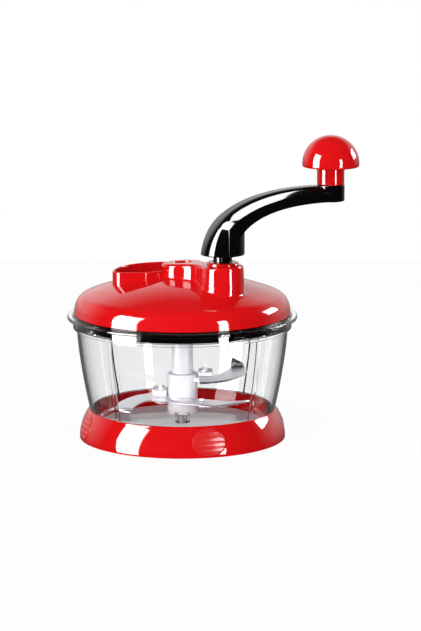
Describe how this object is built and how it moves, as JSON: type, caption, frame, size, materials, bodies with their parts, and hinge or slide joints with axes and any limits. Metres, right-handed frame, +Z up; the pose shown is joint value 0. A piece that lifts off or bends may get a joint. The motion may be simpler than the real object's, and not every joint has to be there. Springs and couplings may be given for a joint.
{
  "type": "hand-crank food chopper",
  "caption": "Hand-crank food chopper: a red dome lid with a feed chute and geared crank over a clear bowl with curved steel blades, on a flared red base ring.",
  "frame": {"origin": "on the surface that the chopper stands on, under the middle of the box that the whole chopper fills, which is 25.6 mm from the bowl's axis towards the knob", "axes": "+Z up along the bowl's axis; +X to the side that the knob reaches at rest; -Y towards the viewer of the picture"},
  "size_m": [0.2462, 0.195, 0.26],
  "materials": {
    "red_abs": "high gloss moulded ABS",
    "black_abs": "high gloss moulded ABS",
    "clear_styrene": "crystal-clear moulded plastic, polished",
    "white_acetal": "satin moulded acetal",
    "nylon": "moulded nylon",
    "blade_steel": "fine ground stainless sheet",
    "pin_steel": "turned stainless",
    "rubber": "moulded rubber"
  },
  "bodies": {
    "base": {"base_ring": "red_abs", "foot_1": "rubber", "foot_2": "rubber", "foot_3": "rubber", "foot_4": "rubber"},
    "bowl": {"bowl": "clear_styrene", "pivot_pin": "pin_steel"},
    "blades": {"blade_shaft": "white_acetal", "upper_blade": "blade_steel", "left_blade": "blade_steel", "front_blade": "blade_steel", "upper_clamp": "white_acetal", "lower_clamp": "white_acetal", "blade_rivet_1": "pin_steel", "blade_rivet_2": "pin_steel", "blade_rivet_3": "pin_steel", "blade_rivet_4": "pin_steel", "blade_rivet_5": "pin_steel"},
    "lid": {"lid_shell": "red_abs", "lid_base": "black_abs", "lid_screw_1": "pin_steel", "lid_screw_2": "pin_steel", "lid_screw_3": "pin_steel", "lid_screw_4": "pin_steel", "shaft_bush": "nylon", "pinion_bush": "nylon"},
    "crank": {"crank_arm": "black_abs", "drive_shaft": "black_abs", "crank_gear": "nylon", "knob_pin": "pin_steel"},
    "pinion": {"pinion": "nylon"},
    "knob": {"knob_stem": "red_abs", "knob_cap": "red_abs"}
  },
  "joints": [
    {"name": "bowl_lift", "type": "slide", "parent": "base", "child": "bowl", "axis": [0, 0, 1], "range_m": [0, 0.05]},
    {"name": "lid_lift", "type": "slide", "parent": "bowl", "child": "lid", "axis": [0, 0, 1], "range_m": [0, 0.08]},
    {"name": "crank_turn", "type": "hinge", "parent": "lid", "child": "crank", "pos_m": [0.00851, -0.03591, 0.165], "axis": [0, 0, 1], "continuous": true},
    {"name": "pinion_turn", "type": "hinge", "parent": "lid", "child": "pinion", "pos_m": [-0.02557, 0, 0.111], "axis": [0, 0, 1], "continuous": true},
    {"name": "blade_turn", "type": "hinge", "parent": "bowl", "child": "blades", "pos_m": [-0.02557, 0, 0.048], "axis": [0, 0, 1], "continuous": true},
    {"name": "knob_turn", "type": "hinge", "parent": "crank", "child": "knob", "pos_m": [0.09907, -0.00822, 0.23], "axis": [0, 0, 1], "continuous": true}
  ],
  "couplings": [
    {"joint": "pinion_turn", "follows": "crank_turn", "ratio": -2.6667},
    {"joint": "blade_turn", "follows": "crank_turn", "ratio": -2.6667}
  ]
}
